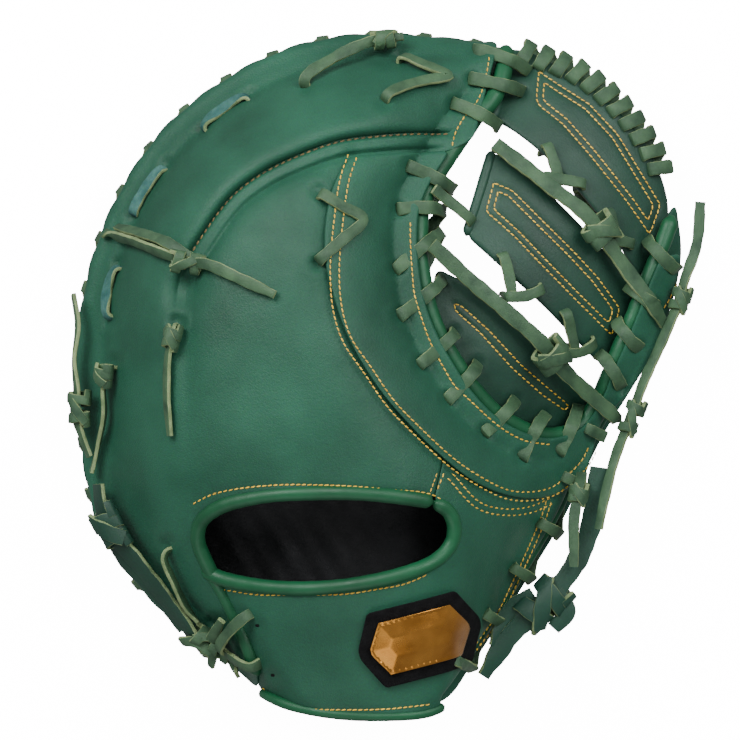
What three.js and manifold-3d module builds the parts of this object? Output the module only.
// A first baseman's mitt for the left hand, in green leather, lying palm down with its back up.
// +X points to the thumb side, +Y to the fingertips, +Z up. The origin is on the surface it rests on,
// under the middle of the mitt. All sizes are in millimetres.
//
// Places on the mitt are given as shares: x of half the width, y of half the length, measured from
// the middle. Heights come from one form, the roof of the pocket, with the padded palm on it, then
// the room for the hand, then the back. Every panel, roll, lace and knot takes its height from it.

import * as THREE from "three";
import { mergeVertices } from "three/addons/utils/BufferGeometryUtils.js";
import Module from "manifold-3d";

const wasm = await Module();
wasm.setup();

// Overall size and form
const mittLength = 321;
const mittWidth = 291;
const pocketDepth = 54;
const pocketCurve = 2.3;
const restBand = 5; // flat edge of the palm that lies on the surface
const wristStretch = 0.26; // how far the form runs on past the wrist, as a share of its radius
const webStretch = 0.13; // the same past the web's outer edge
const heelDrop = 0.55; // share of its height that the palm loses towards the heel

// Walls and padding
const palmWall = 9;
const backWall = 3;
const liningWall = 1.5;
const palmEdge = 3.8; // the palm is skived to this where its rim is laced
const edgeRise = 12; // from the palm's inner side to the edge of the back
const handRoom = 27; // what the hand adds above that
const roomWidth = 46; // how far in from an edge the hand's room is full
const crestPuff = 5; // how far the finger crest stands over the hand panel
const seamDepth = 4.5;
const seamHalf = 7;
const archPower = 0.8; // how soon the hand's room is full, in from an edge
const heelStart = 0.35; // share of the half length where the palm starts to fall to the heel
const heelRun = 0.6; // share of it over which it falls
const wristRun = 0.5;
const gap = 0.35;
const seatSlack = 0.2; // added to the gap under a piece that lies on faceted leather
const rollSlack = 0.6; // the same beside a roll
const feltSlack = 1; // the same under the felt, which is wide
const webRollSlack = 1.8; // the same under the web's roll
const webLaceSlack = 2.4; // between the web's roll and the laces round it
const rimLaceSlack = 1.1; // between the rim's laces and the palm
const seamGap = 0.8; // between panels sewn edge to edge
const thumbLip = 0.9; // how far the thumb panel's edge stands over the panels beside it
const palmUnderWeb = 2.4; // how far the palm runs on past the middle of the web's roll

// Rolled edges
const rimRollRadius = 2.2;
const rimInset = 5; // middle of the rim's roll, and edge of the back, from the outline
const tipInset = 1.2; // the same at the thumb's tip, which has no roll
const rimFlange = 8.5; // flat edge of the back, where it is laced to the rim
const webFlange = 8; // the same at the web
const rimSides = 6;
const holeInset = 4.6; // the laces' holes from the edge of the back
const webRollRadius = 4.1;
const openingRollRadius = 3.4;
const heelRollRadius = 2.4;
const weltRadius = 2.9;
const weltDrop = 0.5;
const rollSides = 5;

// Laces and straps
const laceWidth = 5.2;
const laceThickness = 2;
const strapWidth = 9.5;
const strapThickness = 2.2;
const holeOverlap = 0.3;
const innerStart = 0.9;
const holeSlack = 0.55; // between a lace and the sides of its hole
const laceLift = 1.9; // middle of a lace over the leather it lies on
const slopeLift = 1; // added where the leather is steep
const laceOut = 4.9; // the rim's laces outside the middle of its roll
const rimLaceCount = 18;
const thumbLaceCount = 6;

// Web bars and emblem
const barThickness = 4.4;
const barRise = 2.6; // underside of a bar over the roof of the pocket
const barRounding = 1.4;
const emblemLength = 58;
const emblemWidth = 36;
const feltThickness = 1.6;
const badgeHeight = 2;
const badgeEdge = 0.9;
const badgeMargin = 5.5;

// Looks
const green = { color: 0x1f5a41, roughness: 0.5, metalness: 0 };
const webGreen = { color: 0x1b4f43, roughness: 0.5, metalness: 0 };
const rollGreen = { color: 0x14613a, roughness: 0.42, metalness: 0 };
const laceGreen = { color: 0x55704c, roughness: 0.72, metalness: 0 };
const black = { color: 0x0b0d0f, roughness: 0.85, metalness: 0 };
const gold = { color: 0xb98234, roughness: 0.35, metalness: 0.8 };

// A table whose columns are named in its first argument
const table = (names, rows) => {
  const keys = names.split(" ");
  return rows.map((row) => Object.fromEntries(keys.map((key, i) => [key, row[i] ?? 0])));
};

const up = new THREE.Vector3(0, 0, 1);
const halfWidth = mittWidth / 2;
const halfLength = mittLength / 2;

const outline = table("x y", [
  [-0.388, -0.922], [-0.525, -0.815], [-0.687, -0.708], [-0.821, -0.578],
  [-0.911, -0.439], [-0.949, -0.303], [-0.968, -0.150], [-0.978, 0.003],
  [-0.968, 0.156], [-0.936, 0.309], [-0.879, 0.457], [-0.793, 0.601],
  [-0.684, 0.728], [-0.541, 0.835], [-0.381, 0.919], [-0.206, 0.974],
  [-0.014, 0.994], [0.161, 0.986], [0.314, 0.968], [0.448, 0.968],
  [0.582, 0.939], [0.713, 0.873], [0.831, 0.769], [0.917, 0.639],
  [0.965, 0.500], [0.984, 0.350], [0.955, 0.211], [0.895, 0.066],
  [0.818, -0.055], [0.742, -0.165], [0.671, -0.292],
  [0.604, -0.425], [0.515, -0.561], [0.400, -0.728], [0.301, -0.861],
  [0.212, -0.965], [0.018, -0.991], [-0.203, -0.980],
]);
const outlineStart = { heelLeft: 0, fingerTip: 18, thumbTip: 24, thumbFoot: 30, heelRight: 35 };

const webRoute = table("x y", [
  [0.410, 0.957], [0.397, 0.876], [0.368, 0.803], [0.295, 0.725],
  [0.231, 0.639], [0.161, 0.535], [0.132, 0.465], [0.126, 0.384],
  [0.132, 0.298], [0.152, 0.199], [0.187, 0.116], [0.238, 0.032],
  [0.301, -0.052], [0.394, -0.133], [0.528, -0.182],
  [0.640, -0.159], [0.703, -0.084], [0.745, 0.009], [0.796, 0.116],
  [0.850, 0.240], [0.895, 0.338], [0.946, 0.460],
]);

const seamRoute = table("x y fade", [
  [-0.375, -0.910, 0], [-0.426, -0.777, 0], [-0.483, -0.662, 0],
  [-0.550, -0.546, 0], [-0.576, -0.471, 0],
  [-0.592, -0.367, 0.05], [-0.604, -0.194, 0.2], [-0.611, 0.009, 0.45],
  [-0.617, 0.211, 0.9], [-0.592, 0.303, 1],
  [-0.544, 0.379, 1], [-0.451, 0.491, 1], [-0.362, 0.552, 1], [-0.260, 0.598, 1], [-0.126, 0.642, 1],
  [-0.005, 0.659, 1], [0.113, 0.668, 1], [0.222, 0.671, 1],
]);
const seamRows = { handStart: 4, weltStart: 8, handEnd: 14 };
const seamEnd = table("x y", [[-0.611, 0.240]])[0];

const thumbSeam = table("x y", [
  [-0.094, 0.621], [-0.142, 0.543], [-0.171, 0.428], [-0.171, 0.321],
  [-0.139, 0.197], [-0.088, 0.081], [-0.011, -0.035], [0.081, -0.136],
  [0.193, -0.237], [0.305, -0.315], [0.432, -0.358], [0.553, -0.361], [0.665, -0.303], [0.729, -0.194],
]);

const openingTop = table("x y", [
  [0.167, -0.367], [0.081, -0.353], [-0.062, -0.341], [-0.222, -0.341],
  [-0.381, -0.353], [-0.502, -0.382], [-0.563, -0.425], [-0.576, -0.477],
  [-0.550, -0.546], [-0.483, -0.662], [-0.426, -0.777], [-0.388, -0.876],
]);
const strapTop = table("x y", [
  [-0.506, -0.590], [-0.413, -0.607], [-0.254, -0.616], [-0.094, -0.604],
  [0.065, -0.575], [0.180, -0.532], [0.228, -0.483],
  [0.234, -0.431], [0.212, -0.390], [0.167, -0.367],
]);
const heelEdge = table("x y", [
  [-0.381, -0.928], [-0.285, -0.960], [-0.158, -0.980],
  [0.002, -0.988], [0.145, -0.980], [0.206, -0.962],
]);

// Smooth curve through rows of shares, as points in millimetres on the plan
function planCurve(rows, count, closed = false) {
  const points = rows.map(({ x, y }) => new THREE.Vector3(x * halfWidth, y * halfLength, 0));
  return new THREE.CatmullRomCurve3(points, closed, "centripetal").getSpacedPoints(count);
}

const clamp = (value, low = 0, high = 1) => Math.min(high, Math.max(low, value));
const smooth = (value) => clamp(value) ** 2 * (3 - 2 * clamp(value));
const bell = (distance, width) => Math.exp(-((distance / width) ** 2));

// The outline's radius by direction, one entry a degree
const fullTurn = 360;
const outlineLoop = planCurve(outline, 2 * fullTurn, true);
const radiusByDegree = Array.from({ length: fullTurn }, (_, degree) => {
  let best = { off: Infinity, radius: 0 };
  for (const point of outlineLoop) {
    const turn = (Math.atan2(point.y, point.x) * 180) / Math.PI - degree;
    const off = Math.abs(((turn + 900) % fullTurn) - 180);
    if (off < best.off) best = { off, radius: Math.hypot(point.x, point.y) };
  }
  return best.radius;
});

function outlineRadius(degrees) {
  const low = Math.floor(degrees);
  const share = degrees - low;
  const next = radiusByDegree[(low + 1) % fullTurn];
  return radiusByDegree[low % fullTurn] * (1 - share) + next * share;
}

// Directions, in degrees, of the wrist and of the middle of the web, and how wide each bulge is
const wristDirection = 268;
const wristSpread = 19;
const webDirection = 48;
const webSpread = 24;

// Radius of the form at a place, which runs on past the wrist and the web
function formRadius(x, y) {
  const degrees = ((Math.atan2(y, x) * 180) / Math.PI + fullTurn) % fullTurn;
  const wrist = wristStretch * bell(degrees - wristDirection, wristSpread);
  const web = webStretch * bell(degrees - webDirection, webSpread);
  return outlineRadius(degrees) * (1 + wrist + web);
}

// Distance to a line on the plan, the side it is on, and how far along it the nearest place is
function nearest(line, x, y) {
  let best = { distance: Infinity, side: 1, share: 0 };
  for (let i = 0; i + 1 < line.length; i += 1) {
    const [a, b] = [line[i], line[i + 1]];
    const [dx, dy] = [b.x - a.x, b.y - a.y];
    const along = clamp(((x - a.x) * dx + (y - a.y) * dy) / (dx * dx + dy * dy));
    const [ex, ey] = [x - a.x - along * dx, y - a.y - along * dy];
    const distance = Math.hypot(ex, ey);
    if (distance < best.distance) {
      best = { distance, side: Math.sign(dx * ey - dy * ex) || 1, share: (i + along) / (line.length - 1) };
    }
  }
  return best;
}

const lineSteps = 48;
const webLine = planCurve(webRoute, lineSteps);
const seamLine = planCurve(seamRoute, lineSteps);

const towardsHeel = (y, run) => smooth((-y - heelStart * halfLength) / (run * halfLength));

// Underside of the palm: the roof of the pocket, flat where it rests
function pocketHeight(x, y) {
  const radius = formRadius(x, y);
  const share = clamp(Math.hypot(x, y) / (radius - restBand));
  const heel = towardsHeel(y, heelRun);
  return pocketDepth * (1 - share ** pocketCurve) * (1 - heelDrop * heel);
}

const palmTop = (x, y) => pocketHeight(x, y) + palmWall;
const outlineDistance = (x, y) => {
  const degrees = ((Math.atan2(y, x) * 180) / Math.PI + fullTurn) % fullTurn;
  return outlineRadius(degrees) - Math.hypot(x, y);
};
const skiveWidth = rimInset + holeInset + laceThickness + 1;
const skiveSlope = 3;
const skivedTop = (x, y) => {
  const skived = smooth((skiveWidth + skiveSlope - outlineDistance(x, y)) / skiveSlope);
  return palmTop(x, y) - (palmWall - palmEdge) * skived;
};
const arch = (distance, width) => (1 - (1 - clamp(distance / width)) ** 2) ** archPower;

// Outer side of the back
const wristTuck = 0.45; // how much steeper the sides rise at the wrist
const webBlend = 26;
const crestSoft = 9;
const dimpleDepth = 4;
const dimpleWidth = 8;
function backHeight(x, y) {
  const rim = Math.max(0, formRadius(x, y) - Math.hypot(x, y) - rimInset - rimFlange);
  const web = Math.max(0, nearest(webLine, x, y).distance - webRollRadius - webFlange);
  const seam = nearest(seamLine, x, y);
  const fade = seamFade(seam.share);
  const width = roomWidth * (1 - wristTuck * towardsHeel(y, wristRun));
  const room = handRoom * arch(rim, width) * arch(web, roomWidth);
  const onCrest = seam.side > 0 ? 1 - Math.exp(-seam.distance / crestSoft) : 0;
  const crest = crestPuff * onCrest * fade * arch(rim, roomWidth / 2) * smooth(web / webBlend);
  const seamCut = seamDepth * fade * bell(seam.distance, seamHalf) * smooth(web / webBlend);
  const toEnd = Math.hypot(x - seamEnd.x * halfWidth, y - seamEnd.y * halfLength);
  const dimple = dimpleDepth * bell(toEnd, dimpleWidth);
  const heel = towardsHeel(y, heelRun) * heelDrop;
  const lost = pocketHeight(x, y) / (1 - heel) - pocketHeight(x, y);
  return palmTop(x, y) + edgeRise + room + crest - seamCut - dimple + 0.6 * lost;
}

// Shares of a route's length at which its rows lie
function rowShares(rows) {
  const steps = rows.map((row, i) => {
    const { x, y } = rows[Math.max(i - 1, 0)];
    return Math.hypot((row.x - x) * halfWidth, (row.y - y) * halfLength);
  });
  const total = steps.reduce((sum, step) => sum + step, 0);
  return steps.map((_, i) => steps.slice(0, i + 1).reduce((sum, step) => sum + step, 0) / total);
}

const seamShares = rowShares(seamRoute);
function seamFade(share) {
  const next = clamp(seamShares.findIndex((place) => place >= share), 1, seamRoute.length - 1);
  const [low, high] = [seamRoute[next - 1].fade, seamRoute[next].fade];
  const along = (share - seamShares[next - 1]) / (seamShares[next] - seamShares[next - 1]);
  return low + (high - low) * clamp(along);
}

const barTop = (x, y) => pocketHeight(x, y) + barRise + barThickness;

// Normal of a height function at a place
function normalOf(height, x, y) {
  const step = 0.8;
  const dx = (height(x + step, y) - height(x - step, y)) / (2 * step);
  const dy = (height(x, y + step) - height(x, y - step)) / (2 * step);
  return new THREE.Vector3(-dx, -dy, 1).normalize();
}

// A closed solid from rings of points, each ring joined to the next and the end rings filled
function solidOf(rings) {
  const width = rings[0].length;
  const last = (rings.length - 1) * width;
  const position = rings.flat().flatMap((p) => p.toArray());
  const faces = [];
  for (let i = 0; i + 1 < rings.length; i += 1) {
    for (let j = 0; j < width; j += 1) {
      const k = (j + 1) % width;
      const [a, b, c, d] = [i * width + j, i * width + k, (i + 1) * width + k, (i + 1) * width + j];
      faces.push([a, b, c], [a, c, d]);
    }
  }
  return { position, faces, width, last };
}

// The filled ends of a tube or ribbon fan out from their first corner, and those of a wall run
// across it in strips, because its section is long and bent.
function closed(rings, strips) {
  const { position, faces, width, last } = solidOf(rings);
  for (let j = 1; j + 1 < width; j += 1) {
    if (!strips) faces.push([0, j + 1, j], [last, last + j, last + j + 1]);
  }
  for (let j = 0; strips && 2 * j + 2 < width; j += 1) {
    const [a, b, c, d] = [j, j + 1, width - 2 - j, width - 1 - j];
    faces.push([a, c, b], [a, d, c], [last + a, last + b, last + c], [last + a, last + c, last + d]);
  }
  const made = manifoldOf(position, faces.flat());
  return made.volume() < 0 ? manifoldOf(position, faces.map(([a, b, c]) => [a, c, b]).flat()) : made;
}

function manifoldOf(position, index, tolerance = 1e-3) {
  const geometry = new THREE.BufferGeometry();
  geometry.setAttribute("position", new THREE.Float32BufferAttribute(position, 3));
  geometry.setIndex(index);
  const merged = mergeVertices(geometry, tolerance);
  return new wasm.Manifold(
    new wasm.Mesh({
      numProp: 3,
      vertProperties: merged.attributes.position.array,
      triVerts: new Uint32Array(merged.index.array),
    }),
  );
}

// A wall between two lines on the plan, from a height function down to another one. Growing it
// makes the tool for its clearance.
function wall({ from, to, height, under, levels, grow = 0 }) {
  const lines = from.map((a, i) => [a, to[i]]);
  const last = lines.length - 1;
  const along = (p, q) => p.clone().sub(q).setLength(grow || 1).multiplyScalar(grow ? 1 : 0);
  const ends = [0, 1].map((side) => [
    along(lines[0][side], lines[1][side]),
    along(lines[last][side], lines[last - 1][side]),
  ]);
  const rings = lines.map(([p, q], i) => {
    const [a, b] = [p, q].map((point, side) => {
      if (i === 0) return point.clone().add(ends[side][0]);
      return i === last ? point.clone().add(ends[side][1]) : point;
    });
    const length = a.distanceTo(b);
    const shares = typeof levels === "function" ? levels(length) : levels;
    const row = shares.map((share) => {
      const { x, y } = a.clone().lerp(b, share);
      return { x, y, share };
    });
    const top = row.map(({ x, y, share }) => new THREE.Vector3(x, y, height(x, y, share) + grow));
    const low = row.map(({ x, y }) => new THREE.Vector3(x, y, under(x, y) - grow));
    return [...top, ...low.reverse()];
  });
  return [closed(rings, true)];
}

// Levels of a wall's rows, with a flat edge of a given width at one or both sides
const flanged = (shares, first, last = 0) => (length) => {
  const start = clamp(first / length, 0, 0.35);
  const end = clamp(last / length, 0, 0.35);
  const inner = shares.map((share) => start + (1 - start - end) * share);
  return [...(first ? [0] : []), ...inner, ...(last ? [1] : [])];
};

// The links of a tube or ribbon along stops, which overlap and are joined. A stop has its point, the
// way that the ribbon's flat side faces, whether it is low, the far end of a hole, and whether the
// ribbon is cut square to the hole there instead of bending. Its section has "sides" corners.
// Growing it makes the tool for its clearance.
function sweep({ stops, width, thickness, sides = 4, grow = 0 }) {
  const path = stops.map(({ point }) => point.clone());
  const tangents = path.map((_, i) => {
    const [before, after] = [Math.max(i - 1, 0), Math.min(i + 1, path.length - 1)];
    const holeTo = (k) => stops[i].square && !stops[i].low !== !stops[k].low;
    const from = holeTo(after) ? i : before;
    const to = holeTo(before) ? i : after;
    return path[to].clone().sub(path[from]).normalize();
  });
  path[0].addScaledVector(tangents[0], -grow);
  path.at(-1).addScaledVector(tangents.at(-1), grow);
  const rings = stops.map(({ facing }, i) =>
    section({ middle: path[i], tangent: tangents[i], facing, width, thickness, sides, grow }),
  );
  return rings.slice(1).map((ring, i) => {
    const inHole = !stops[i].low !== !stops[i + 1].low;
    const away = path[i + 1].clone().sub(path[i]).setLength(holeOverlap);
    const start = stops[i].square ? seated(rings[i], path[i], inHole && away.clone().negate()) : rings[i];
    const end = stops[i + 1].square ? seated(ring, path[i + 1], inHole && away) : ring;
    return closed([start, end], false);
  });
}

// At a square stop the link in the hole runs on a little, and the next one starts inside it
const seated = (ring, middle, shift) =>
  ring.map((p) => (shift ? p.clone().add(shift) : middle.clone().lerp(p, innerStart)));

function section({ middle, tangent, facing, width, thickness, sides, grow }) {
  const outward = facing.clone().addScaledVector(tangent, -facing.dot(tangent)).normalize();
  const side = tangent.clone().cross(outward);
  const reach = 1 / Math.cos(Math.PI / sides);
  return Array.from({ length: sides }, (_, k) => {
    const angle = ((k + 0.5) * 2 * Math.PI) / sides;
    return middle
      .clone()
      .addScaledVector(side, reach * (width / 2 + grow) * Math.cos(angle))
      .addScaledVector(outward, reach * (thickness / 2 + grow) * Math.sin(angle));
  });
}

// The same links, but straight and a little wider where they go through a panel, and nothing
// where they don't: the tools for a lace's holes
function holeTools({ stops, width, thickness }) {
  return stops.slice(1).map((q, i) => {
    const p = stops[i];
    if (!p.low === !q.low) return undefined;
    const tangent = q.point.clone().sub(p.point).normalize();
    const facing = p.low ? q.facing : p.facing;
    const ends = [p.point.clone().addScaledVector(tangent, -1), q.point.clone().addScaledVector(tangent, 1)];
    const rings = ends.map((middle) =>
      section({ middle, tangent, facing, width, thickness, sides: 4, grow: holeSlack }),
    );
    return closed(rings, false);
  });
}

// A rolled edge along a line on the plan, its middle at a height function less a drop
function roll({ route, height, drop = 0, radius, steps, sides = rollSides, grow = 0 }) {
  const stops = planCurve(route, steps).map((p) => ({ point: p.setZ(height(p.x, p.y) - drop), facing: up }));
  return sweep({ stops, width: 2 * radius, thickness: 2 * radius, sides, grow });
}

// Stops of a lace over a surface. Rows of its route give x and y as shares, the lift of its middle
// square to the surface, and the turn of its flat side about its length, in degrees. At a low stop,
// the far end of a hole, the flat side faces along the strand on top, so the lace isn't twisted.
function laceStops(route, height) {
  const holes = route.map(({ lift }, i) => {
    if (lift >= 0) return i;
    return i > 0 && route[i - 1].lift >= 0 ? i - 1 : i + 1;
  });
  const places = holes.map((hole) => {
    const { x, y } = route[hole];
    return new THREE.Vector2(x * halfWidth, y * halfLength);
  });
  const normals = places.map(({ x, y }) => normalOf(height, x, y));
  const points = places.map(({ x, y }, i) =>
    new THREE.Vector3(x, y, height(x, y)).addScaledVector(normals[i], route[i].lift),
  );
  return points.map((point, i) => {
    const hole = holes[i];
    if (hole !== i) {
      const facing = points[hole].clone().sub(points[2 * hole - i]);
      return { point, facing, low: true, square: true };
    }
    const [before, after] = [Math.max(i - 1, 0), Math.min(i + 1, points.length - 1)];
    const ahead = points[after].clone().sub(points[before]).normalize();
    const normal = normals[i].clone().addScaledVector(ahead, -normals[i].dot(ahead)).normalize();
    const facing = normal.applyAxisAngle(ahead, THREE.MathUtils.degToRad(route[i].turn));
    return { point, facing, low: false };
  });
}

// A lace that whips round an edge. Each row gives the two holes of one wrap, the first through
// the panel at one side of the edge and the second at the other. Over the edge it bends round a
// core at a reach, once for each angle, and below it crosses to the next wrap.
function whipStops({ wraps, edge, firstTop, secondTop, firstLow, secondLow, core, reach, angles }) {
  return wraps.flatMap(({ ax, ay, bx, by }, i) => {
    const a = new THREE.Vector3(ax * halfWidth, ay * halfLength, 0);
    const b = new THREE.Vector3(bx * halfWidth, by * halfLength, 0);
    const m = a.clone().lerp(b, 0.5);
    if (edge) m.copy(closest(edge, m));
    m.z = core(m.x, m.y);
    const aside = b.clone().sub(a).normalize();
    const outward = (point) => point.clone().sub(m).normalize();
    const stop = (point, low = false) => ({ point, facing: outward(point), low, square: low });
    const points = [
      stop(a.clone().setZ(firstLow(a.x, a.y)), true),
      stop(a.clone().setZ(firstTop(a.x, a.y))),
      ...angles.map((degrees) => {
        const angle = (degrees * Math.PI) / 180;
        const away = aside.clone().multiplyScalar(Math.cos(angle)).addScaledVector(up, Math.sin(angle));
        return stop(m.clone().addScaledVector(away, reach));
      }),
      stop(b.clone().setZ(secondTop(b.x, b.y))),
      stop(b.clone().setZ(secondLow(b.x, b.y)), true),
    ];
    if (i + 1 === wraps.length) return points;
    const next = new THREE.Vector3(wraps[i + 1].ax * halfWidth, wraps[i + 1].ay * halfLength, 0);
    const below = b.clone().lerp(next, 0.5);
    below.z = Math.min(secondLow(b.x, b.y), firstLow(next.x, next.y));
    return [...points, { point: below, facing: up.clone().negate(), low: true }];
  });
}

// The point of a line nearest to a place
function closest(line, { x, y }) {
  const place = nearest(line, x, y).share * (line.length - 1);
  const low = Math.min(Math.floor(place), line.length - 2);
  return line[low].clone().lerp(line[low + 1], place - low);
}

// Wraps spaced evenly along a line on the plan, "inner" on its left side and "outer" on its right
function evenWraps({ route, count, inner, outer, slant }) {
  const line = planCurve(route, count * 2);
  return Array.from({ length: count }, (_, i) => {
    const [p, q] = [line[2 * i], line[2 * i + 1]];
    const ahead = new THREE.Vector3().subVectors(q, p).normalize();
    const side = new THREE.Vector3(-ahead.y, ahead.x, 0);
    const a = p.clone().addScaledVector(side, inner);
    const b = p.clone().addScaledVector(side, -outer).addScaledVector(ahead, slant);
    return { ax: a.x / halfWidth, ay: a.y / halfLength, bx: b.x / halfWidth, by: b.y / halfLength };
  });
}

// Lines on the plan, moved sideways or towards the middle
function offsetLine(line, distance) {
  const distanceAt = typeof distance === "function" ? distance : () => distance;
  return line.map((p, i) => {
    const ahead = line[Math.min(i + 1, line.length - 1)].clone().sub(line[Math.max(i - 1, 0)]);
    const side = new THREE.Vector3(-ahead.y, ahead.x, 0).normalize();
    return p.clone().addScaledVector(side, distanceAt(i / (line.length - 1)));
  });
}

const parts = new THREE.Group();
const made = [];
const closeGap = 0.2; // pieces nearer than this are cut clear of each other
const wideGap = 1; // where a turn of the section leaves too little of the usual gap
const leastOverlap = 0.002;
const mergeSteps = [0.005, 0.001]; // corners that a cut leaves nearer than this become one

// Adds a piece to the group, made of solids that overlap and are joined, and cut clear of the pieces
// before it wherever it would come close to one. A panel is cut by the holes of a lace first.
const meets = (solid, other) => solid.intersect(other).volume() > leastOverlap;
const largest = (solid) => solid.decompose().sort((a, b) => b.volume() - a.volume())[0];
const minus = (solid, tools) => (tools.length ? solid.subtract(wasm.Manifold.union(tools)) : solid);
function add(name, look, make, { holes = [], panel = false } = {}) {
  const links = make(0);
  const left = made.reduce((solid, others) => {
    const near = others.filter(({ close }) => meets(solid, close));
    const holed = panel ? minus(solid, near.filter(({ hole }) => hole).map(({ hole }) => hole)) : solid;
    const cut = minus(holed, near.filter(({ close }) => meets(holed, close)).map(({ tool }) => tool));
    return minus(cut, near.filter(({ link }) => meets(cut, link)).map(({ wide }) => wide));
  }, wasm.Manifold.union(links));
  const solid = mergeSteps.reduce((rough, step) => {
    const { vertProperties, triVerts } = rough.getMesh();
    return largest(manifoldOf([...vertProperties], [...triVerts], step));
  }, left);
  const [close, tool, wide] = [closeGap, gap, wideGap].map(make);
  const toolsOf = (i) => ({ close: close[i], tool: tool[i], wide: wide[i], hole: holes[i] });
  made.push(links.map((link, i) => ({ link, ...toolsOf(i) })));
  const { vertProperties, triVerts } = solid.getMesh();
  const geometry = new THREE.BufferGeometry();
  geometry.setAttribute("position", new THREE.BufferAttribute(vertProperties, 3));
  geometry.setIndex(new THREE.BufferAttribute(triVerts, 1));
  geometry.computeVertexNormals();
  const mesh = new THREE.Mesh(geometry, new THREE.MeshStandardMaterial(look));
  mesh.name = name;
  parts.add(mesh);
}

// Adds a lace with the knots on it
function addLace(name, { stops, width = laceWidth, thickness = laceThickness, knots = [] }) {
  const make = (grow) => [
    ...sweep({ stops, width, thickness, grow }),
    ...knots.map((knot) => knotOf(knot, grow)),
  ];
  add(name, laceGreen, make, { holes: holeTools({ stops, width, thickness }) });
}

// Laces that whip round the edges of the web. Their holes are cut through the panels below.
const webRollReach = webRollRadius / Math.cos(Math.PI / rimSides);
const webRollHeight = (x, y) => palmTop(x, y) + webRollReach + gap + webRollSlack;
const laceTop = (x, y) => backHeight(x, y) + laceLift + thumbLip + slopeLift;
const webTop = (x, y) => barTop(x, y) + laceLift + slopeLift / 2;
const underPalm = (x, y) => Math.max(laceThickness, pocketHeight(x, y) - laceLift - 2 * slopeLift);
const underBar = (x, y) => pocketHeight(x, y) + barRise - laceLift - 1.5 * slopeLift;
const webReach = webRollRadius + laceThickness / 2 + webLaceSlack;
const webBend = [120, 75, 30];
const thumbWraps = table("ax ay bx by", [
  [0.094, 0.595, 0.231, 0.532], [0.065, 0.471, 0.203, 0.468], [0.053, 0.298, 0.193, 0.402],
  [0.065, 0.165, 0.199, 0.269], [0.129, 0.026, 0.238, 0.118], [0.215, -0.075, 0.311, 0.026],
  [0.337, -0.168, 0.435, -0.078], [0.455, -0.243, 0.534, -0.121], [0.579, -0.225, 0.640, -0.098],
]);
const fingerWraps = table("ax ay bx by", [
  [0.311, 0.942, 0.477, 0.884], [0.298, 0.855, 0.458, 0.821], [0.241, 0.780, 0.381, 0.717],
]);
const tipWraps = table("ax ay bx by", [
  [0.777, -0.038, 0.707, 0.055], [0.834, 0.075, 0.764, 0.153], [0.888, 0.197, 0.799, 0.254],
  [0.952, 0.303, 0.863, 0.390],
]);
const edgeRoute = table("x y", [
  [0.470, 0.945], [0.528, 0.928], [0.640, 0.887], [0.742, 0.818],
  [0.831, 0.728], [0.895, 0.639], [0.933, 0.558],
]);
const edgeLace = { count: 9, inner: -5.5, outer: -3.6, slant: 3.5 };
const webWhip = (wraps) => ({
  stops: whipStops({
    wraps,
    edge: webLine,
    firstTop: laceTop,
    secondTop: webTop,
    firstLow: underPalm,
    secondLow: underBar,
    core: webRollHeight,
    reach: webReach,
    angles: webBend,
  }),
});
addLace("thumb_side_lace", webWhip(thumbWraps));
addLace("finger_side_lace", webWhip(fingerWraps));
addLace("thumb_tip_lace", webWhip(tipWraps));
const barMiddle = (x, y) => pocketHeight(x, y) + barRise + barThickness / 2;
addLace("web_edge_lace", {
  stops: whipStops({
    wraps: evenWraps({ route: edgeRoute, ...edgeLace }),
    firstTop: webTop,
    secondTop: webTop,
    firstLow: underBar,
    secondLow: underBar,
    core: barMiddle,
    reach: barThickness / 2 + laceLift,
    angles: [],
  }),
});

// Lacing round the rim, a helix about the rolls
const fingerRim = outline.slice(outlineStart.heelLeft + 1, outlineStart.fingerTip + 1);
const thumbRim = outline.slice(outlineStart.thumbTip + 4, outlineStart.heelRight);
const laceSeat = laceThickness / 2 + gap + rimLaceSlack;
const lowStrand = (x, y) => pocketHeight(x, y) + palmEdge + laceSeat;
const strandSlope = 4; // from the outside of the roll to the holes, on top of the palm
const rimHeight = (x, y) =>
  lowStrand(x, y) + strandSlope + laceThickness / 2 + gap + rimRollRadius / Math.cos(Math.PI / rimSides);
const topStrand = (x, y) => backHeight(x, y) + laceSeat + thumbLip;
const holeTop = (x, y) => topStrand(x, y) + slopeLift;
const holeLow = (x, y) => lowStrand(x, y) + slopeLift;
function rimStops(route, count) {
  const wrap = [
    { place: -laceOut, height: lowStrand, facing: [0.7, -1], low: true },
    { place: -laceOut, height: topStrand, facing: [0.7, 1] },
    { place: holeInset, height: holeTop, facing: [-0.5, 1] },
    { place: holeInset, height: holeLow, facing: [-1, 0], low: true, square: true },
  ];
  const line = planCurve(route, count).slice(1);
  const lines = wrap.map(({ place }) => offsetLine(line, -(rimInset + place)));
  const stops = line.flatMap((p, i) =>
    wrap.map(({ height, facing, ...ends }, k) => {
      const point = lines[k][i];
      const flatSide = p.clone().setLength(facing[0]).addScaledVector(up, facing[1]);
      return { point: point.setZ(height(point.x, point.y)), facing: flatSide, ...ends };
    }),
  );
  return stops.slice(1);
}
addLace("finger_rim_lace", { stops: rimStops(fingerRim, rimLaceCount) });
addLace("thumb_rim_lace", { stops: rimStops(thumbRim, thumbLaceCount) });

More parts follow.
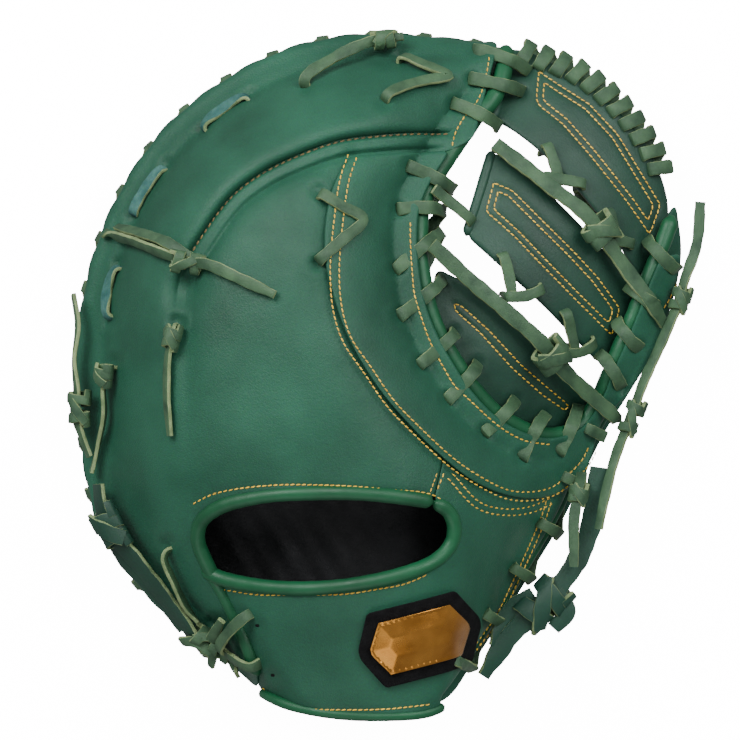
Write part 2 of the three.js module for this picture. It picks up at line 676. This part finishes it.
// Free ties, straps and the laces that run through the back
function knotOf({ height, place, lift, size, turn }, grow) {
  const [x, y] = [place.x * halfWidth, place.y * halfLength];
  const normal = normalOf(height, x, y);
  const ball = new THREE.SphereGeometry(1, 7, 4);
  ball.deleteAttribute("normal");
  ball.deleteAttribute("uv");
  ball.scale(size.long / 2 + grow, size.wide / 2 + grow, size.high / 2 + grow);
  ball.rotateZ((turn * Math.PI) / 180);
  ball.applyQuaternion(new THREE.Quaternion().setFromUnitVectors(up, normal));
  ball.translate(...new THREE.Vector3(x, y, height(x, y)).addScaledVector(normal, lift).toArray());
  return manifoldOf([...ball.attributes.position.array], [...ball.index.array]);
}
const tie = ({ height = backHeight, route, knots = [], width, thickness }) => ({
  stops: laceStops(route, height),
  width,
  thickness,
  knots: knots.map(({ x, y, lift, long, wide, high, turn }) => ({
    height,
    place: { x, y },
    lift,
    size: { long, wide, high },
    turn,
  })),
});

const through = -5;
const ties = {
  crest_lace_upper: tie({
    route: table("x y lift turn", [
      [-0.413, 0.806, through], [-0.426, 0.798, 2.8], [-0.499, 0.766, 3],
      [-0.560, 0.711, 2.8], [-0.569, 0.697, through],
    ]),
  }),
  crest_lace_middle: tie({
    route: table("x y lift turn", [
      [-0.681, 0.607, through], [-0.691, 0.592, 2.6], [-0.748, 0.532, 2.8],
      [-0.786, 0.465, 2.6], [-0.793, 0.448, through],
    ]),
  }),
  crest_lace_lower: tie({
    route: table("x y lift turn", [
      [-0.831, 0.318, through], [-0.837, 0.303, 3], [-0.869, 0.231, 3.2],
      [-0.863, 0.165, 3], [-0.856, 0.147, through],
    ]),
  }),
  top_tie: tie({
    route: table("x y lift turn", [
      [-0.238, 0.824, through, 50], [-0.234, 0.835, 4.9, 50],
      [-0.142, 0.884, 8.4, 50], [-0.018, 0.939, 8.9, 60],
      [0.078, 0.948, 8.4, 20],
    ]),
    knots: table("x y lift long wide high turn", [[0.018, 0.942, 8.4, 10, 9, 7, 20]]),
  }),
  crest_v_lace: tie({
    route: table("x y lift turn", [
      [0.065, 0.919, through], [0.072, 0.905, 3.1], [0.136, 0.882, 3.6],
      [0.212, 0.853, 4.2], [0.142, 0.835, 3.6],
      [0.065, 0.812, 3.4], [0.021, 0.789, 3.1], [0.008, 0.777, through],
    ]),
  }),
  thumb_v_lace: tie({
    route: table("x y lift turn", [
      [-0.196, 0.520, through], [-0.183, 0.506, 3.2], [-0.126, 0.471, 3.8],
      [-0.065, 0.434, 4.2], [-0.123, 0.376, 3.8],
      [-0.187, 0.321, 3.2], [-0.199, 0.309, through],
    ]),
  }),
  side_tie: tie({
    route: table("x y lift turn", [
      [-0.901, 0.413, 5.1, 60], [-0.834, 0.393, 5.5, 60],
      [-0.748, 0.367, 5.7, 55], [-0.662, 0.335, 5.9, 40],
      [-0.598, 0.321, 6.1, 20], [-0.525, 0.303, 5.9, 15],
      [-0.426, 0.263, 5.4, 10], [-0.324, 0.220, 5.1, 10],
    ]),
    knots: table("x y lift long wide high turn", [[-0.608, 0.321, 6.4, 15, 10, 7, -15]]),
  }),
  back_tie: tie({
    route: table("x y lift turn", [
      [-0.640, 0.147, through, 90], [-0.643, 0.124, 2.6, 90],
      [-0.649, 0.095, 4.6, 90], [-0.659, 0.038, 4.6, 90],
      [-0.662, -0.064, 4.4, 90], [-0.652, -0.179, 4.2, 90],
    ]),
    knots: table("x y lift long wide high turn", [[-0.649, 0.098, 4.6, 9, 11, 7, 0]]),
  }),
  pinky_tie: tie({
    route: table("x y lift turn", [
      [-0.847, 0.032, through, 30], [-0.850, 0.009, 4.1, 30],
      [-0.853, -0.043, 6.1, 35], [-0.853, -0.113, 6.1, 40],
      [-0.872, -0.194, 6.3, 40], [-0.901, -0.286, 7.1, 40],
    ]),
    knots: table("x y lift long wide high turn", [[-0.850, -0.006, 6.1, 10, 9, 7, 0]]),
  }),
  rim_tie: tie({
    route: table("x y lift turn", [
      [-0.943, 0.223, 9, 40], [-0.936, 0.139, 9, 40], [-0.939, 0.038, 9, 40], [-0.949, -0.055, 9.4, 40],
      [-0.949, -0.107, 9.6, 20], [-0.917, -0.182, 8.4, 20], [-0.898, -0.240, 7.4, 20],
    ]),
    knots: table("x y lift long wide high turn", [[-0.943, -0.101, 9.4, 11, 17, 7, 20]]),
  }),
  pinky_strap: tie({
    width: strapWidth,
    thickness: strapThickness,
    route: table("x y lift turn", [
      [-0.872, -0.318, 8.6, 30], [-0.860, -0.382, 9.2, 20],
      [-0.828, -0.448, 9.6, 10], [-0.754, -0.540, 9.4, 15],
      [-0.643, -0.668, 9.4, 15], [-0.528, -0.801, 9.2, 15],
    ]),
    knots: table("x y lift long wide high turn", [[-0.834, -0.436, 9.8, 16, 19, 8, 20]]),
  }),
  wrist_tie: tie({
    route: table("x y lift turn", [
      [-0.675, -0.491, through, 60], [-0.668, -0.517, 4.8, 60],
      [-0.633, -0.590, 6.2, 70], [-0.598, -0.656, 6.2, 70],
      [-0.573, -0.708, 6.2, 70],
    ]),
  }),
  heel_knot: tie({
    route: table("x y lift turn", [
      [-0.617, -0.754, 11, 20], [-0.598, -0.801, 12, 20],
      [-0.553, -0.829, 12, 10], [-0.502, -0.821, 11, 10],
    ]),
    knots: table("x y lift long wide high turn", [[-0.573, -0.806, 12.6, 15, 10, 8, -25]]),
  }),
  strap_lace_lower: tie({
    route: table("x y lift turn", [
      [-0.528, -0.720, through], [-0.518, -0.734, 3.6], [-0.483, -0.772, 6.6], [-0.439, -0.812, 6.6],
      [-0.391, -0.841, 3.6], [-0.372, -0.853, through],
    ]),
  }),
  strap_lace_upper: tie({
    route: table("x y lift turn", [
      [-0.400, -0.679, through], [-0.410, -0.694, 3.8], [-0.439, -0.731, 9.2], [-0.467, -0.777, 9.4],
      [-0.474, -0.806, 7.2], [-0.477, -0.824, 6.4],
    ]),
  }),
  thumb_strap: tie({
    width: strapWidth,
    thickness: strapThickness,
    route: table("x y lift turn", [
      [0.710, -0.275, 6.6, 0], [0.694, -0.382, 6.6, 0], [0.668, -0.483, 6.6, 0], [0.617, -0.575, 7, 0],
      [0.531, -0.668, 7.6, 0], [0.416, -0.772, 6.6, 0], [0.308, -0.876, 5.6, 0],
    ]),
    knots: table("x y lift long wide high turn", [[0.525, -0.673, 7.6, 26, 18, 9, 35]]),
  }),
  thumb_tie: tie({
    route: table("x y lift turn", [
      [0.997, 0.500, 8, 40], [0.994, 0.384, 8, 40], [0.981, 0.269, 8, 40], [0.962, 0.205, 8, 40],
      [0.904, 0.081, 8, 40], [0.850, -0.026, 8, 40], [0.812, -0.121, 8.6, 40], [0.758, -0.246, 9, 40],
      [0.722, -0.367, 15, 40], [0.703, -0.454, 16, 40],
    ]),
    knots: table("x y lift long wide high turn", [
      [0.968, 0.214, 8, 10, 11, 7, 0],
      [0.812, -0.130, 8.6, 10, 17, 7, 15],
    ]),
  }),
  hanging_tie: tie({
    route: table("x y lift turn", [
      [0.652, -0.292, 5.8, 20], [0.640, -0.344, 12.4, 20],
      [0.624, -0.425, 14.4, 10], [0.624, -0.564, 14.4, 10],
    ]),
    knots: table("x y lift long wide high turn", [[0.640, -0.353, 13.4, 9, 9, 6, 0]]),
  }),
};
for (const [name, lace] of Object.entries(ties)) addLace(name, lace);

// Laces of the web
const webTies = {
  web_draw_lace_upper: tie({
    height: barTop,
    width: 7,
    thickness: 2.6,
    route: table("x y lift turn", [
      [0.368, 0.647, 7.8], [0.448, 0.592, 7.8], [0.544, 0.523, 8.2],
      [0.640, 0.454, 8.4], [0.697, 0.384, 8.2],
      [0.767, 0.292, 10.3], [0.812, 0.228, 15.3], [0.856, 0.165, 15.8],
    ]),
    knots: table("x y lift long wide high turn", [[0.684, 0.408, 8.4, 13, 17, 9, -40]]),
  }),
  web_draw_lace_lower: tie({
    height: barTop,
    width: 7,
    thickness: 2.6,
    route: table("x y lift turn", [
      [0.167, 0.350, 17], [0.263, 0.275, 10.4], [0.384, 0.182, 9.4], [0.486, 0.101, 9.6],
      [0.550, 0.032, 9.4], [0.633, -0.038, 10], [0.703, -0.098, 16.5], [0.745, -0.130, 17],
    ]),
    knots: table("x y lift long wide high turn", [[0.522, 0.058, 9.6, 13, 17, 9, -40]]),
  }),
  web_cross_lace_upper: tie({
    height: barTop,
    route: table("x y lift turn", [
      [0.534, 0.671, -8.8], [0.534, 0.656, 2.9], [0.553, 0.610, 2.9],
      [0.566, 0.564, 2.8], [0.569, 0.540, -8.8],
      [0.493, 0.558, -4], [0.528, 0.564, 3.6], [0.582, 0.555, 4.2], [0.649, 0.546, 3],
      [0.665, 0.540, -8.8], [0.726, 0.483, -8.8], [0.729, 0.468, 2.9], [0.742, 0.425, 2.9],
      [0.748, 0.384, 2.8], [0.748, 0.361, -8.8], [0.691, 0.373, -4],
      [0.722, 0.390, 3.6], [0.767, 0.384, 4], [0.805, 0.376, 3], [0.815, 0.361, -8.8],
    ]),
  }),
  web_cross_lace_lower: tie({
    height: barTop,
    route: table("x y lift turn", [
      [0.391, 0.355, -8.8], [0.391, 0.338, 2.9], [0.407, 0.283, 2.9],
      [0.416, 0.228, 2.8], [0.419, 0.205, -8.8],
      [0.365, 0.205, -4], [0.404, 0.220, 3.6], [0.461, 0.223, 4], [0.512, 0.243, 3],
      [0.528, 0.246, -8.8], [0.585, 0.194, -8.8], [0.589, 0.176, 2.9], [0.604, 0.124, 2.9],
      [0.617, 0.066, 2.8], [0.617, 0.043, -8.8], [0.541, 0.049, -4],
      [0.576, 0.064, 3.6], [0.633, 0.066, 4], [0.681, 0.092, 3], [0.691, 0.107, -8.8],
    ]),
  }),
  link_lace: tie({
    height: barTop,
    route: table("x y lift turn", [
      [0.180, 0.500, 15.5], [0.215, 0.483, 10.5], [0.257, 0.460, 6.5],
      [0.292, 0.436, 2.5], [0.305, 0.428, -3],
    ]),
  }),
};
for (const [name, lace] of Object.entries(webTies)) addLace(name, lace);

// Rolled edges
const rollSink = backWall / 2;
function rimRoll(route, steps, grow) {
  const points = offsetLine(planCurve(route, steps), -rimInset);
  const stops = points.map((p) => ({ point: p.setZ(rimHeight(p.x, p.y)), facing: up }));
  const width = 2 * rimRollRadius;
  return sweep({ stops, width, thickness: width, sides: rimSides, grow });
}
const weltRoute = seamRoute.slice(seamRows.weltStart);
const backRoll = (route, radius, steps, sides, drop = rollSink) => (grow) =>
  roll({ route, height: backHeight, drop, radius, steps, sides, grow });
add("web_roll", rollGreen, (grow) =>
  roll({ route: webRoute, height: webRollHeight, radius: webRollRadius, steps: 26, sides: 6, grow }),
);
add("opening_roll", rollGreen, backRoll(openingTop, openingRollRadius, 18, 5));
add("strap_roll", rollGreen, backRoll(strapTop, openingRollRadius, 14, 5));
add("heel_roll", rollGreen, backRoll(heelEdge, heelRollRadius, 8, 5));
add("crest_welt", green, backRoll(weltRoute, weltRadius, 12, 5, weltDrop));
add("finger_rim_roll", rollGreen, (grow) => rimRoll(fingerRim, 26, grow));
add("thumb_rim_roll", rollGreen, (grow) => rimRoll(thumbRim, 16, grow));

// The palm: one padded wall from the web's edge to the outline, flat where it rests
const palmRim = [
  ...outline.slice(outlineStart.thumbTip),
  ...outline.slice(0, outlineStart.fingerTip + 1),
].reverse();
const heelSide = outline.slice(outlineStart.thumbFoot, outlineStart.heelRight + 1).reverse();
const palmSteps = 28;
const palmShares = [0, 0.2, 0.4, 0.6, 0.8, 1];
const restingHeight = (x, y) =>
  Math.hypot(x, y) > formRadius(x, y) - restBand ? 0 : pocketHeight(x, y);
const makePalm = (grow) =>
  wall({
    from: offsetLine(planCurve(webRoute, palmSteps), palmUnderWeb + grow),
    to: offsetLine(planCurve(palmRim, palmSteps), gap - grow),
    height: skivedTop,
    under: restingHeight,
    levels: (length) => {
      const skive = clamp((skiveWidth + skiveSlope) / length, 0, 0.8);
      const foot = (skive * skiveWidth) / (skiveWidth + skiveSlope);
      return [...palmShares.map((share) => share * (1 - skive)), 1 - foot, 1 - foot / 3, 1];
    },
    grow,
  });
add("palm", green, makePalm, { panel: true });

// The hand's lining, which shows through the opening
const liningLeft = table("x y", [
  [-0.490, -0.217], [-0.636, -0.321], [-0.649, -0.526], [-0.515, -0.743], [-0.349, -0.876],
]);
const liningRight = table("x y", [
  [-0.254, -0.217], [0.250, -0.234], [0.359, -0.396], [0.295, -0.656], [0.193, -0.876],
]);
const liningRise = 2.6;
const liningShares = [0, 0.25, 0.5, 0.75, 1];
add("hand_lining", black, (grow) =>
  wall({
    from: planCurve(liningLeft, 8),
    to: planCurve(liningRight, 8),
    height: (x, y) => palmTop(x, y) + liningRise + liningWall,
    under: (x, y) => palmTop(x, y) + liningRise,
    levels: liningShares,
    grow,
  }),
);

// The back: finger crest and hand in one shaped panel, with the thumb and wrist panels set beside it
const rimStrip = rimFlange; // flat strip of a panel's rim that holds the laces' holes
const webStrip = 6;
const crestShares = [0, 0.22, 0.55, 0.82, 1];
const crestSteps = 26;
const panelOverlap = 0.8; // where the crest and the hand are one piece of leather
const beside = (radius) => radius / Math.cos(Math.PI / rollSides) + gap + rollSlack;
const handSeam = seamRoute.slice(seamRows.handStart, seamRows.handEnd + 1);
const handWeltShare = rowShares(handSeam)[seamRows.weltStart - seamRows.handStart];
const turnOver = 0.03; // share of a line over which its distance to the panel changes
const after = (share, start) => smooth((share - start) / turnOver);
const backUnder = (x, y) => backHeight(x, y) - backWall;
const crestRim = [
  ...outline.slice(outlineStart.heelLeft, outlineStart.fingerTip + 1),
  ...table("x y", [[0.435, 0.971]]),
];
const crestSeam = [...seamRoute, ...table("x y", [[0.301, 0.676]])];
const crestSeamShares = rowShares(crestSeam);
const makeCrest = (grow) =>
  wall({
    from: offsetLine(planCurve(crestRim, crestSteps), grow - rimInset),
    to: offsetLine(planCurve(crestSeam, crestSteps), (share) => {
      const opening = 1 - after(share, crestSeamShares[seamRows.handStart]);
      const welt = after(share, crestSeamShares[seamRows.weltStart]);
      const clear = (beside(openingRollRadius) - grow) * opening + (beside(weltRadius) - grow) * welt;
      return clear - panelOverlap * (1 - opening) * (1 - welt);
    }),
    height: backHeight,
    under: backUnder,
    levels: flanged(crestShares, rimStrip),
    grow,
  });
const openingRows = openingTop.slice(0, 7).reverse();
const openingSteps = 9;
const thumbEdge = planCurve(thumbSeam.slice(0, -1), 24); // shared by the three panels that meet there
const thumbEdgeEnds = { hand: 16, strap: 23 };
const handShares = [0, 0.12, 0.35, 0.7, 1];
const handSteps = openingSteps + thumbEdgeEnds.hand + 1;
const makeHand = (grow) =>
  wall({
    from: offsetLine(planCurve(handSeam, handSteps), (share) => {
      const welt = after(share, handWeltShare);
      return (grow - beside(weltRadius)) * welt;
    }),
    to: [
      ...offsetLine(planCurve(openingRows, openingSteps), beside(openingRollRadius) - grow),
      ...offsetLine(thumbEdge.slice(0, thumbEdgeEnds.hand + 1).reverse(), -grow),
    ],
    height: backHeight,
    under: backUnder,
    levels: handShares,
    grow,
  });
add("finger_back", green, (grow) => [...makeCrest(grow), ...makeHand(grow)], { panel: true });

const tipSteps = 8;
const thumbTipRim = outline.slice(outlineStart.thumbTip + 1, outlineStart.thumbFoot).reverse();
const thumbInner = webRoute.slice(4, -1);
const tipInsetAt = (share) => rimInset + (tipInset - rimInset) * smooth(share / 0.25);
const thumbShares = [0, 0.3, 0.65, 1];
const thumbHeight = (x, y) => backHeight(x, y) + thumbLip;
add(
  "thumb_back",
  green,
  (grow) =>
    wall({
      from: [
        ...offsetLine(thumbEdge, seamGap - grow),
        ...offsetLine(planCurve(thumbTipRim, tipSteps), (share) => tipInsetAt(share) - grow),
      ],
      to: offsetLine(planCurve(thumbInner, thumbEdge.length + tipSteps), grow - beside(webRollRadius)),
      height: thumbHeight,
      under: backUnder,
      levels: flanged(thumbShares, rimStrip, webStrip),
      grow,
    }),
  { panel: true },
);

// The wrist strap and the heel panel, one piece below the opening and the thumb panel
const strapShares = [0, 0.2, 0.6, 1];
const strapSteps = { opening: 13, heel: 11, side: 9 };
add(
  "strap_back",
  green,
  (grow) =>
    wall({
      from: [
        ...offsetLine(planCurve(strapTop, strapSteps.opening), grow - beside(openingRollRadius)),
        ...offsetLine(thumbEdge.slice(thumbEdgeEnds.hand, thumbEdgeEnds.strap + 1), grow - seamGap),
      ],
      to: [
        ...offsetLine(planCurve(heelEdge, strapSteps.heel), beside(heelRollRadius) - grow),
        ...offsetLine(planCurve(heelSide, strapSteps.side), rimInset - grow),
      ],
      height: backHeight,
      under: backUnder,
      levels: flanged(strapShares, 0, rimStrip),
      grow,
    }),
  { panel: true },
);

// The three padded bars of the web
const bars = {
  web_bar_top: {
    upper: table("x y", [
      [0.404, 0.951], [0.474, 0.945], [0.576, 0.899], [0.716, 0.812],
      [0.831, 0.708], [0.907, 0.587], [0.936, 0.465], [0.895, 0.338],
    ]),
    lower: table("x y", [
      [0.365, 0.737], [0.423, 0.708], [0.512, 0.645], [0.614, 0.552],
      [0.716, 0.442], [0.793, 0.341], [0.825, 0.298], [0.847, 0.272],
    ]),
  },
  web_bar_mid: {
    upper: table("x y", [
      [0.362, 0.645], [0.400, 0.621], [0.512, 0.546], [0.624, 0.448],
      [0.722, 0.355], [0.812, 0.251], [0.847, 0.176],
    ]),
    lower: table("x y", [
      [0.276, 0.396], [0.333, 0.350], [0.432, 0.269], [0.537, 0.182],
      [0.640, 0.087], [0.716, 0.026], [0.767, 0.026],
    ]),
  },
  web_bar_low: {
    upper: table("x y", [
      [0.180, 0.303], [0.257, 0.269], [0.384, 0.202], [0.496, 0.124],
      [0.592, 0.043], [0.671, -0.038], [0.722, -0.084],
    ]),
    lower: table("x y", [
      [0.155, 0.176], [0.212, 0.066], [0.289, -0.026], [0.384, -0.113],
      [0.496, -0.159], [0.592, -0.159], [0.691, -0.101],
    ]),
  },
};
const barShares = [0, 0.1, 0.5, 0.9, 1];
const barSteps = 10;
for (const [name, { upper, lower }] of Object.entries(bars)) {
  add(name, webGreen, (grow) =>
    wall({
      from: planCurve(upper, barSteps),
      to: planCurve(lower, barSteps),
      height: (x, y, share) => barTop(x, y) - barRounding * Math.abs(2 * share - 1) ** 6,
      under: (x, y) => pocketHeight(x, y) + barRise,
      levels: barShares,
      grow,
    }),
    { panel: true },
  );
}

// Emblem: a felt patch on the strap with a plain faceted plate on it
const emblemPlace = table("x y tilt", [[0.129, -0.763, 14]])[0];
const emblemTurn = (emblemPlace.tilt * Math.PI) / 180;
const emblemAcross = new THREE.Vector3(-Math.sin(emblemTurn), Math.cos(emblemTurn), 0);
const emblemAlong = new THREE.Vector3(Math.cos(emblemTurn), Math.sin(emblemTurn), 0);
const emblemMiddle = new THREE.Vector3(emblemPlace.x * halfWidth, emblemPlace.y * halfLength, 0);
const emblemSides = table("along across", [[-1, 0.12], [-0.72, 1], [0, 1], [0.72, 1], [1, 0.12]]);
const emblemEdge = (side, margin, steps) =>
  emblemSides.flatMap(({ along, across }, i) => {
    const next = emblemSides[Math.min(i + 1, emblemSides.length - 1)];
    const parts = i + 1 < emblemSides.length ? steps : 1;
    return Array.from({ length: parts }, (_, k) => {
      const a = along + ((next.along - along) * k) / parts;
      const b = across + ((next.across - across) * k) / parts;
      return emblemMiddle
        .clone()
        .addScaledVector(emblemAlong, a * (emblemLength / 2 - margin))
        .addScaledVector(emblemAcross, side * b * (emblemWidth / 2 - margin));
    });
  });
const feltLow = (x, y) => backHeight(x, y) + gap + feltSlack;
const feltTop = (x, y) => feltLow(x, y) + feltThickness;
const badgeLow = (x, y) => feltTop(x, y) + gap + seatSlack;
add("emblem_patch", black, (grow) =>
  wall({
    from: emblemEdge(1, -grow, 2),
    to: emblemEdge(-1, -grow, 2),
    height: feltTop,
    under: feltLow,
    levels: [0, 0.33, 0.67, 1],
    grow,
  }),
);
add("emblem_badge", gold, (grow) =>
  wall({
    from: emblemEdge(1, badgeMargin, 2),
    to: emblemEdge(-1, badgeMargin, 2),
    height: (x, y, share) => badgeLow(x, y) + badgeEdge + badgeHeight * (1 - Math.abs(2 * share - 1)),
    under: badgeLow,
    levels: [0, 0.5, 1],
    grow,
  }),
);

// The laces stand out further on one side, so the whole is moved to have the origin under its middle
const middle = new THREE.Box3().setFromObject(parts).getCenter(new THREE.Vector3());
parts.position.set(-middle.x, -middle.y, 0);

export default parts;
